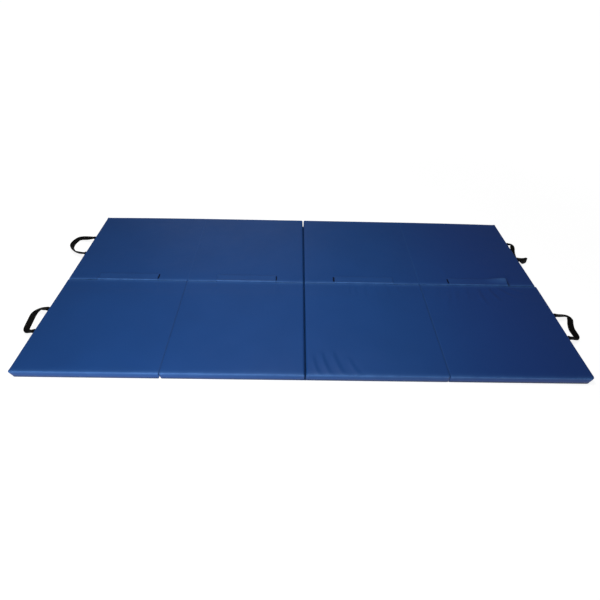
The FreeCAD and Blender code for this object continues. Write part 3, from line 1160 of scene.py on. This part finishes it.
def flap_sheet(name, number, path, thick, x_range, corner_from, material, ripple):
    """A strip of cloth that follows a path across the mat and has its own little lift."""
    centre = flap_centre(number)
    line = follow(path, PATH_STEP) * MM
    line[:, 1] += BEND_RISE[number] * MM * np.exp(-((line[:, 0] - 3 * MM) / (4 * MM)) ** 2)
    shares = np.linspace(0, 1, FLAP_COLUMNS)
    half = x_range / 2
    tail = line[-1, 0]
    slopes = np.gradient(line, axis=0)
    normals = np.stack([-slopes[:, 1], slopes[:, 0]], -1)
    normals /= np.linalg.norm(normals, axis=1)[:, None]
    rings, wear = [], []
    for (y, z), normal in zip(line, normals):
        over = max(0.0, y - (tail - corner_from))
        trim = corner_from - math.sqrt(max(corner_from**2 - over**2, 0)) if over else 0.0
        x = centre + (shares * 2 - 1) * (half - trim)
        flat_share = np.clip((x - centre) / half / 2 + 0.5, 0, 1)
        lift = flap_lift(number, flat_share, max(y, 0)) if y > 4 * MM else 0 * x
        wave = ripple * np.sin(flat_share * 37 + number) * smooth_step((y - 2 * MM) / 0.03)
        top = np.stack([x, y + normal[0] * thick / 2 + 0 * x,
                        z + normal[1] * thick / 2 + lift + wave], -1)
        low = np.stack([x, y - normal[0] * thick / 2 + 0 * x,
                        z - normal[1] * thick / 2 + lift + wave], -1)
        rings.append(np.concatenate([top, low[::-1]]))
        # painted highlight on the bend over the middle line and on the raised end
        painted_highlight = 1.3 * np.exp(-((y - 1.5 * MM) / (3.2 * MM)) ** 2) + lift / (10 * MM) * 0.95
        wear.append(np.clip(0.1 + np.concatenate([painted_highlight, painted_highlight[::-1]]), 0, 1.4))
    points = np.concatenate(rings)
    size = len(rings[0])
    piece = face_outwards(new_piece(name, points, tube_faces(len(rings), size), material))
    point_value(piece, "wear", np.concatenate(wear))
    # painted tint for the light's colour at the right end
    point_value(piece, "drift", lies_to_the_right(points))
    length = np.linalg.norm(np.diff(line, axis=0), axis=1).sum()
    return piece, length


print("cut corners of a flap: %.0f mm" % (FLAP_CORNER / MM))

# %% [markdown]
# The flap that stands up is made of two pieces: its short root, laid where the mat lies flat,
# and its lying part, which rides on the flap's own lifting joint with a mesh of its own. The
# other flaps are one piece each, laid where the mat lies flat.

# %% Flaps and their hooks
FLAP_LENGTH = 310 * MM
FLAP_RIPPLE = 0.12 * MM
ROOT_END = 6            # points of the path that belong to the root
HOOK_PATH = [(13, 39.4), (25, 39.4), (37, 39.4), (49, 39.4)]
HOOK_LENGTH, HOOK_THICK, HOOK_CORNER = 300 * MM, 0.7 * MM, 2 * MM


def bend_at_root(piece):
    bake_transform(piece)


def press_flat(piece):
    """Gives the piece a mesh of its own."""
    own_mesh(piece)


def make_flap(number):
    name = "flap_%d" % number
    hooks, _ = flap_sheet("hooks_" + name, number, HOOK_PATH, HOOK_THICK, HOOK_LENGTH,
                          HOOK_CORNER, hook_tape, 0.0)
    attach(hooks, name)
    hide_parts("flap_hook_%d" % number)
    if number != 4:
        cloth, length = flap_sheet("vinyl_" + name, number, FLAP_PATH, FLAP_THICK, FLAP_LENGTH,
                                   FLAP_CORNER, blue_vinyl, FLAP_RIPPLE)
        bend_at_root(cloth)
        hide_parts("join_flap_%d" % number)
        return
    root, root_length = flap_sheet("root_" + name, number, FLAP_PATH[:ROOT_END], FLAP_THICK,
                                   FLAP_LENGTH, 0.0, blue_vinyl, 0.0)
    cloth, length = flap_sheet("vinyl_" + name, number, FLAP_PATH[ROOT_END - 1:], FLAP_THICK,
                               FLAP_LENGTH, FLAP_CORNER, blue_vinyl, FLAP_RIPPLE)
    bend_at_root(root)
    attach(cloth, name)
    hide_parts("join_flap_%d" % number)
    press_flat(cloth)
    press_flat(hooks)


print("a flap is %.0f mm long" % (FLAP_LENGTH / MM))

# %% [markdown]
# The loop patches are sewn to the back half, under the flaps. Each sticks out past its flap at
# the end nearer the middle of the mat, and shows there as a short dark tick. Its pile is a
# thin slab with tufts: every grid point on top is up or down by a random quarter millimetre.

# %% Loop patches
PILE_THICK = 1.0 * MM
PILE_EDGE = 2 * MM
PILE_ROUND = 0.9 * MM
PILE_SHORT = 3 * MM     # how far it stops short of the flap's end on the outer side
TUFT = 0.25 * MM
PILE_POINTS = (120, 16)
PILE_SHOWS = {1: 6.5, 2: 5.5, 3: 9.5, 4: 6.0}    # past the flap, at the end nearer the middle


def loop_patch(number):
    """The fluffy half of the fastening, sewn to the back half under its flap."""
    low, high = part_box("loop_patch_%d" % number)
    centre, half, shows = flap_centre(number), FLAP_LENGTH / 2, PILE_SHOWS[number] * MM
    x0, x1 = centre - half + PILE_SHORT, centre + half - PILE_SHORT
    if number < 3:
        x1 = centre + half + shows
    else:
        x0 = centre - half - shows
    xs = grid_lines(x0, x1, PILE_EDGE, PILE_EDGE, PILE_POINTS[0])
    ys = grid_lines(low.y, high.y, PILE_EDGE, PILE_EDGE, PILE_POINTS[1])
    x, y = np.meshgrid(xs, ys)
    from_edge = np.minimum(np.minimum(x - x0, x1 - x), np.minimum(y - low.y, high.y - y))
    drop = edge_drop(from_edge, PILE_ROUND)
    draw = np.random.default_rng(40 + number)
    tuft = TUFT * draw.uniform(-1, 1, x.shape) * (drop < 0.1 * MM)
    top = np.stack([x, y, low.z + PILE_THICK - drop + tuft], -1).reshape(-1, 3)
    under = np.stack([x, y, low.z + 0 * x], -1).reshape(-1, 3)
    rows, columns = x.shape
    faces = grid_faces(rows, columns)
    faces += [f[::-1] for f in grid_faces(rows, columns, start=len(top))]
    loop = border(rows, columns)
    for j, k in zip(loop, np.roll(loop, -1)):
        faces.append((int(j), int(j) + len(top), int(k) + len(top), int(k)))
    patch = face_outwards(new_piece("loop_pile_%d" % number, np.concatenate([top, under]), faces,
                                    loop_tape))
    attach(patch, "panel_back_%d" % number)
    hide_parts("loop_patch_%d" % number)


for number in NUMBERS:
    make_flap(number)
    loop_patch(number)
print("flaps:", len(NUMBERS), "each", round(FLAP_LENGTH / MM), "mm along the mat")

# %% [markdown]
# ## Handles
#
# Each handle is a length of black webbing an inch wide. Its two ends are sewn flat on the end wall
# with a crossed box of stitches, and the loop between them flops out onto the floor. Webbing
# can't bend edgewise, so at each corner it rolls onto its edge and back, and no two loops lie
# alike. One of them has fallen against the wall with only its tip standing out. Each loop is
# one strap, swept along listed points.

# %% Sweep a strap along a list of points
STRAP_WIDTH, STRAP_THICK = 26 * MM, 1.6 * MM
STRAP_COLUMNS = 11
STRAP_STEP = 3.0
UP = np.array([0.0, 0.0, 1.0])


def unit(vector):
    return vector / np.linalg.norm(vector)


def strap(name, stations, wall_side, material):
    """A flat strap of even width along stations of (x, y, z, roll).

    With no roll the strap's width lies level. Where it runs straight up the wall, its width
    is wall_side at the first root and the opposite at the second."""
    path = follow(stations, STRAP_STEP)
    centre, roll = path[:, :3] * MM, np.radians(path[:, 3])
    along = np.gradient(centre, axis=0)
    rings, travelled, run = [], [], 0.0
    for i, (c, t) in enumerate(zip(centre, along)):
        t = unit(t)
        hint = np.array(wall_side, float) * (1 if 2 * i < len(centre) else -1)
        level = np.cross(t, UP) + 0.15 * abs(t[2]) * hint
        level = unit(level - t * (level @ t))
        side = level * math.cos(roll[i]) + np.cross(t, level) * math.sin(roll[i])
        up = np.cross(t, side)
        if i:
            run += np.linalg.norm(c - centre[i - 1])
        u = np.linspace(-1, 1, STRAP_COLUMNS)
        thick = STRAP_THICK / 2 * np.sqrt(np.clip(1.05 - u**6, 0.05, 1))
        mid = c + np.outer(u * STRAP_WIDTH / 2, side)
        over, under = mid + np.outer(thick, up), (mid - np.outer(thick, up))[::-1]
        rings.append(np.concatenate([over, under]))
        travelled.append(run)
    size = 2 * STRAP_COLUMNS
    points = np.concatenate(rings)
    piece = face_outwards(new_piece(name, points, tube_faces(len(rings), size), material))
    across = np.concatenate([u, u[::-1]]) * STRAP_WIDTH / 2 / MM
    point_value(piece, "along", np.repeat(np.array(travelled) / MM, size))
    point_value(piece, "across", np.tile(across, len(rings)))
    return piece, run


print("webbing: %.0f mm wide" % (STRAP_WIDTH / MM))

# %% [markdown]
# The stations start on the wall under the root nearer the front, climb the wall, turn out over
# the bend and come back to the wall at the other root. `out` is measured from the end wall.
# A roll of 0 lets the strap lie level, and 90 stands it on its edge.

# %% Stations of the four loops
def wall_tab(y, going_up):
    """Stations of the sewn end: up the wall and out over the bend, or the same backwards."""
    climb = [(0.9, y, 8, 0), (0.9, y, 16, 0), (0.9, y, 25, 0), (1.1, y, 31, 0),
             (3.0, y, 34.6, 0), (6.5, y, 35.6, 0)]
    return climb if going_up else climb[::-1]


LOOPS = {   # first root y, last root y, stations (out, y, z, roll) between the sewn ends
    "front_left": (-375, -226, [(15, -374, 33, 0), (38, -366, 22, 0), (58, -355, 14, 5),
                                (70, -338, 11, 18), (76, -308, 9, 25), (80, -275, 9, 26),
                                (81, -247, 12, 22), (72, -228, 17, 8), (48, -217, 25, -6),
                                (20, -223, 33, 0)]),
    "back_left": (236, 389, [(14, 238, 32, 8), (34, 247, 27, 10), (64, 263, 21, 20),
                             (97, 288, 16, 46), (119, 318, 14, 52), (128, 346, 12, 40),
                             (127, 374, 12, 32), (112, 400, 16, 26), (88, 405, 20, 26),
                             (50, 396, 27, 22), (20, 389, 33, 6)]),
    "front_right": (-370, -219, [(14, -369, 33, 0), (38, -361, 22, 0), (60, -352, 14, -2),
                                 (72, -336, 10, -14), (74, -312, 8, -24), (75, -286, 8, -26),
                                 (84, -254, 9, -22), (95, -224, 12, -8), (90, -206, 15, 8),
                                 (70, -203, 19, 12), (45, -210, 26, 8), (20, -217, 33, 2)]),
    "back_right": (236, 400, [(14, 237, 31, 20), (32, 243, 23, 50), (54, 251, 16, 76),
                              (70, 260, 15, 84), (77, 269, 15, 86), (70, 276, 15, 84),
                              (50, 275, 14, 74), (30, 282, 13, 60), (20, 300, 13, 30),
                              (20, 320, 14, 14), (22, 342, 16, 8), (28, 366, 19, 4),
                              (34, 388, 22, 0), (30, 402, 27, -2), (14, 401, 33, 0)]),
}


print("stations:", {label: len(LOOPS[label][2]) for label in LOOPS})

# %% [markdown]
# The covers' end walls stand proud of their blocks, so the sewn ends move out with them, and
# the shift dies out along the loop. The strap bends over the top edge where it leaves the wall;
# it rides on no panel.

# %% Make the four handles
SHIFT_START, SHIFT_RAMP = 8, 60             # millimetres out from the wall


def make_handle(label):
    row, side = label.split("_")
    out = -1 if side == "left" else 1
    first_y, last_y, middle = LOOPS[label]
    stations = wall_tab(first_y, True) + middle + wall_tab(last_y, False)
    wall = float(end_reach(row, out, abs(first_y + last_y) / 2 * MM / DEPTH)) / MM
    placed = []
    for away, y, z, roll in stations:
        fade = smooth_step(1 - (away - SHIFT_START) / SHIFT_RAMP)
        shift = wall * float(fade * lean(z * MM))
        placed.append((out * (END / MM + away + shift), y, z, roll))
    piece, length = strap("strap_" + label, placed, (0, -out, 0), black_webbing)
    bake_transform(piece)
    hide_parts("handle_" + label, "handle_anchor_" + label)
    print("strap", label, "length %.0f mm" % (length / MM))


for label in LOOPS:
    make_handle(label)

# %% [markdown]
# ## Stitches
#
# Lockstitch shows as a row of short raised threads. A row is one mesh of small lozenge-shaped
# bars laid on the surface: round three sides of each flap, in a crossed box on every handle
# tab, and along the welt near the top of the mat's outer walls.

# %% Threads along a line
STITCH = 3.0 * MM
STITCH_GAP = 1.2 * MM
THREAD_THICK = 0.35 * MM


def stitch_line(start, end):
    """Centres and directions of the stitches between two points."""
    start, end = np.array(start, float), np.array(end, float)
    length = np.linalg.norm(end - start)
    count = max(1, int(length / (STITCH + STITCH_GAP)))
    shares = (np.arange(count) + 0.5) / count
    way = (end - start) / length
    return [(start + (end - start) * share, way) for share in shares]


def thread_bars(name, stitches):
    """One mesh: a slim eight-pointed lozenge for each (centre, direction, outward)."""
    points, faces = [], []
    for centre, way, outward in stitches:
        side = np.cross(way, outward)
        start = len(points)
        for end, size in ((-0.5, 0.35), (-0.3, 1.0), (0.3, 1.0), (0.5, 0.35)):
            for a, b in ((-1, -1), (1, -1), (1, 1), (-1, 1)):
                points.append(centre + way * end * STITCH
                              + (side * a * 0.8 + outward * b * 0.5) * size * THREAD_THICK)
        faces += [tuple(start + k for k in face) for face in grid_faces(4, 4, closed=True)]
        faces += [(start + 3, start + 2, start + 1, start),
                  (start + 12, start + 13, start + 14, start + 15)]
    return face_outwards(new_piece(name, points, faces, navy_thread))


print("stitch every %.1f mm" % ((STITCH + STITCH_GAP) / MM))

# %% [markdown]
# The surfaces have relief, so a stitch can't be put at a height known beforehand. A ray is
# sent at the piece from outside, and the stitch goes where it lands.

# %% Lay stitches on a surface
RAY_START = 40 * MM
THREAD_RISE = 0.1 * MM


def surface_under(piece, place, outward):
    """The first point of the piece met from outside, or None where there is none."""
    found, spot, _, _ = piece.ray_cast(Vector(place + outward * RAY_START), Vector(-outward))
    return np.array(spot) if found else None


def sew(name, piece, rows, outward, body):
    """Lays rows of stitches on a piece's surface, facing outward, and rides them on a body."""
    outward = np.array(outward, float)
    stitches = []
    for start, end in rows:
        for centre, way in stitch_line(start, end):
            spot = surface_under(piece, centre, outward)
            if spot is not None:
                stitches.append((spot + outward * THREAD_RISE, way, outward))
    sewn = thread_bars(name, stitches)
    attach(sewn, body)
    return sewn


print("threads stand %.1f mm proud" % (THREAD_RISE / MM))

# %% [markdown]
# A flap is sewn round the three free sides of its hook tape, each handle's end in a crossed
# box, and every outer wall along its welt.

# %% Sew flaps, handles and welts
FLAP_MARGIN = 5 * MM
FLAP_SEWN_NEAR, FLAP_SEWN_FAR = 9 * MM, 48 * MM
BOX_CORNERS = ((-9, 10), (9, 10), (9, 25), (-9, 25))    # (along the wall, height), mm
WELT_DOWN = 6.5 * MM
WELT_INSET = 12 * MM


def sew_flap(number):
    """Three sides of a flap's lying part, a few millimetres in from its edge."""
    cloth = bpy.data.objects["vinyl_flap_%d" % number]
    centre, half = flap_centre(number), FLAP_LENGTH / 2 - FLAP_MARGIN
    near, far, z = FLAP_SEWN_NEAR, FLAP_SEWN_FAR, 41 * MM
    left, right = centre - half, centre + half
    rows = [((left, near, z), (left, far, z)), ((left, far, z), (right, far, z)),
            ((right, far, z), (right, near, z))]
    sewn = sew("stitches_flap_%d" % number, cloth, rows, (0, 0, 1), "flap_%d" % number)
    if number == 4:
        press_flat(sewn)


def sew_handle(label):
    """A crossed box on each of the strap's two sewn ends."""
    row, side = label.split("_")
    out = -1 if side == "left" else 1
    strap_piece = bpy.data.objects["strap_" + label]
    rows = []
    for y in LOOPS[label][:2]:
        x = out * END
        corners = [(x, (y + a) * MM, z * MM) for a, z in BOX_CORNERS]
        rows += list(zip(corners, corners[1:] + corners[:1]))
        rows += [(corners[0], corners[2]), (corners[1], corners[3])]
    number = 1 if side == "left" else 4
    sew("stitches_handle_" + label, strap_piece, rows, (out, 0, 0), "panel_%s_%d" % (row, number))


def sew_welts(row, number):
    """The seam that joins the top to the wall band, on the panel's outer walls."""
    box = panel_box(row, number)
    z, inset = THICK - WELT_DOWN, WELT_INSET
    cover = panels["%s_%d" % (row, number)]
    far = row == "back"
    y = box[3] if far else box[2]
    sew("welt_%s_%d" % (row, number), cover, [((box[0] + inset, y, z), (box[1] - inset, y, z))],
        (0, 1 if far else -1, 0), "panel_%s_%d" % (row, number))
    if number in (1, 4):
        out = -1 if number == 1 else 1
        x = box[0] if number == 1 else box[1]
        sew("end_welt_%s_%d" % (row, number), cover,
            [((x, box[2] + inset, z), (x, box[3] - inset, z))], (out, 0, 0),
            "panel_%s_%d" % (row, number))


bpy.context.view_layer.update()     # a ray meets only meshes whose places are up to date
for number in NUMBERS:
    sew_flap(number)
for label in LOOPS:
    sew_handle(label)
for row in ROWS:
    for number in NUMBERS:
        sew_welts(row, number)
sewn_pieces = [o for o in bpy.data.objects if "stitches" in o.name or "welt" in o.name]
print("rows of stitches:", len(sewn_pieces))

# %% [markdown]
# ## Zips
#
# The zips sit on the walls inside the two folds that hinge at the top, where they can't be
# reached while the mat is down. The CAD tapes and sliders have their real shapes, so they stay
# and get their materials, and the coil's turns are added as a row of small bars.

# %% Small bars for the coils
def bars(name, boxes, material):
    """One mesh of many small six-sided bars, each (low corner, high corner)."""
    points, faces = [], []
    for low, high in boxes:
        start = len(points)
        points += [(x, y, z) for x in (low[0], high[0]) for y in (low[1], high[1])
                   for z in (low[2], high[2])]
        for quad in ((0, 1, 3, 2), (4, 6, 7, 5), (0, 4, 5, 1), (2, 3, 7, 6), (0, 2, 6, 4),
                     (1, 5, 7, 3)):
            faces.append(tuple(start + i for i in quad))
    return new_piece(name, points, faces, material, smooth=False)


tape_low, tape_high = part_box("zip_tape_back_1")
print("zip tape: %.1f mm wide" % ((tape_high.z - tape_low.z) / MM))

# %% [markdown]
# A coil's turns lie to the one side and the other of the tape's middle by turns, and mesh.
# They start and end a few millimetres inside the tape.

# %% Dress the zips
COIL_PITCH = 2.2 * MM
COIL_WIRE = 0.8 * MM
COIL_INSET = 5 * MM


def dress_zip(row, number):
    label = "%s_%d" % (row, number)
    tape = frame["nodes"]["zip_tape_" + label]
    slider = frame["nodes"]["zip_slider_" + label]
    for node, material in ((tape, zip_cloth), (slider, black_metal)):
        node.data.materials.clear()
        node.data.materials.append(material)
    low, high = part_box("zip_tape_" + label)
    facing = 1 if number in (1, 3) else -1
    surface = high.x if facing > 0 else low.x
    middle_z = (low.z + high.z) / 2
    turns = []
    for y in np.arange(low.y + COIL_INSET, high.y - COIL_INSET, COIL_PITCH):
        for shift, reach in ((0, 1), (COIL_PITCH / 2, -1)):
            near, far = surface - facing * 0.3 * MM, surface + facing * 0.2 * MM
            z = sorted((middle_z - reach * 0.4 * MM, middle_z + reach * 2.4 * MM))
            turns.append(((min(near, far), y + shift, z[0]),
                          (max(near, far), y + shift + COIL_WIRE, z[1])))
    coil = bars("coil_" + label, turns, zip_coil)
    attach(coil, "panel_" + label)


for row in ROWS:
    for number in NUMBERS:
        dress_zip(row, number)
print("zips dressed:", 2 * len(NUMBERS))

# %% [markdown]
# ## The floor, the light and the camera
#
# The mat lies on a plain, very pale floor. The floor glows a little by itself, so that it is
# almost white everywhere and only the nearest shadow shows. A glow as strong as that needs no
# bright lamps, which would burn out the vinyl's highlights.

# %% Floor
FLOOR_SIZE = 40.0
GLOW_NEAR, GLOW_FAR = 0.88, 0.97


def make_floor():
    pale = Recipe("pale_floor", 0.9, Specular_IOR_Level=0.0)
    pale.shader.inputs["Emission Color"].default_value = (1, 1, 1, 1)
    away = pale.node("ShaderNodeVectorMath", operation="LENGTH")
    pale.link(pale.place(), away.inputs[0])
    pale.link(pale.span(away.outputs["Value"], 1.5, 3.5, GLOW_NEAR, GLOW_FAR),
              pale.shader.inputs["Emission Strength"])
    colour = pale.blend(pale.noise(400), (0.28, 0.28, 0.28), (0.31, 0.31, 0.31))
    corners = [(-FLOOR_SIZE, -FLOOR_SIZE, 0), (FLOOR_SIZE, -FLOOR_SIZE, 0),
               (FLOOR_SIZE, FLOOR_SIZE, 0), (-FLOOR_SIZE, FLOOR_SIZE, 0)]
    new_piece("floor", corners, [(0, 1, 2, 3)], pale.finish(colour))


make_floor()
print("floor: %.0f m across" % (2 * FLOOR_SIZE))

# %% [markdown]
# From a low camera the floor's far edge would show as a hard line against the dim world. A pale
# curtain stands there, far behind everything. It is seen by the camera only: it sends no light
# to the mat, is in no reflection and casts no shadow.

# %% Backdrop
CURTAIN_RADIUS = 38
CURTAIN_TOP = 45


def make_backdrop():
    pale = Recipe("pale_backdrop", 1.0, Specular_IOR_Level=0.0)
    pale.shader.inputs["Emission Color"].default_value = (1, 1, 1, 1)
    pale.shader.inputs["Emission Strength"].default_value = GLOW_FAR
    turns = np.linspace(0, 2 * math.pi, 49)[:-1]
    points = [(CURTAIN_RADIUS * math.cos(a), CURTAIN_RADIUS * math.sin(a), z)
              for z in (-0.5, CURTAIN_TOP) for a in turns]
    curtain = new_piece("backdrop", points, grid_faces(2, len(turns), closed=True), pale.material)
    curtain.visible_diffuse = False
    curtain.visible_glossy = False
    curtain.visible_shadow = False


make_backdrop()
print("curtain: %d m away" % CURTAIN_RADIUS)

# %% [markdown]
# Three soft lights make the look. A broad one hangs over the near side and shades the top from
# left to right; a lower one in front makes the near walls and the rounded edges lighter than the
# top; and a very wide weak one behind lifts the back half. The world is dim, so that the shade
# keeps its depth.

# %% Lights and world
LAMPS = [   # name, place, target, size in metres, watts
    ("over_softbox", (-0.09, -0.36, 2.07), (-0.7, -0.1, 0), 1.0, 30),
    ("front_softbox", (-0.78, -1.84, 0.52), (-0.78, -0.4, 0), 0.9, 18),
    ("far_softbox", (-0.70, 2.70, 1.20), (-0.35, 0.6, 0), 2.1, 4.6)]
WORLD_STRENGTH = 0.17


def soft_light(name, place, target, size, watts):
    data = bpy.data.lights.new(name, "AREA")
    data.shape = "DISK"
    data.size = size
    data.energy = watts
    lamp = bpy.data.objects.new(name, data)
    bpy.context.scene.collection.objects.link(lamp)
    lamp.location = place
    lamp.rotation_euler = (Vector(target) - Vector(place)).to_track_quat("-Z", "Y").to_euler()
    lamp.visible_camera = False


for lamp_settings in LAMPS:
    soft_light(*lamp_settings)
world = bpy.data.worlds.new("studio")
world.use_nodes = True
background = world.node_tree.nodes["Background"]
background.inputs["Color"].default_value = (1, 1, 1, 1)
background.inputs["Strength"].default_value = WORLD_STRENGTH
bpy.context.scene.world = world
bpy.context.scene.view_settings.view_transform = "Standard"
print("lamps:", len(LAMPS), "together %.1f W" % sum(lamp[-1] for lamp in LAMPS))

# %% [markdown]
# The camera stands at the near side, almost at the middle, at the height of a chest, and looks
# down by 41 degrees, rolled by a degree or two. Its place, angles and lens were fitted to the
# mat's corners. Its three axes are worked out from the angles and put into its matrix.

# %% Camera
CAMERA_PLACE = (-0.0576, -1.7281, 1.4468)
CAMERA_TILT = math.radians(41.54)
CAMERA_TURN = math.radians(1.31)
CAMERA_ROLL = math.radians(1.77)
CAMERA_LENS = 25.48
ahead = Vector((math.sin(CAMERA_TURN), math.cos(CAMERA_TURN), 0))
across = Vector((math.cos(CAMERA_TURN), -math.sin(CAMERA_TURN), 0))
looking = ahead * math.cos(CAMERA_TILT) + Vector((0, 0, -1)) * math.sin(CAMERA_TILT)
upright = across.cross(looking)
right = across * math.cos(CAMERA_ROLL) + upright * math.sin(CAMERA_ROLL)
up = upright * math.cos(CAMERA_ROLL) - across * math.sin(CAMERA_ROLL)
camera_data = bpy.data.cameras.new("camera")
camera_data.lens = CAMERA_LENS
camera_data.sensor_width = 36.0
camera = bpy.data.objects.new("camera", camera_data)
bpy.context.scene.collection.objects.link(camera)
camera.matrix_world = Matrix((
    (right.x, up.x, -looking.x, CAMERA_PLACE[0]), (right.y, up.y, -looking.y, CAMERA_PLACE[1]),
    (right.z, up.z, -looking.z, CAMERA_PLACE[2]), (0, 0, 0, 1)))
bpy.context.scene.camera = camera
print("camera %.2f m up" % CAMERA_PLACE[2])

# %% Finish
bpy.context.view_layer.update()
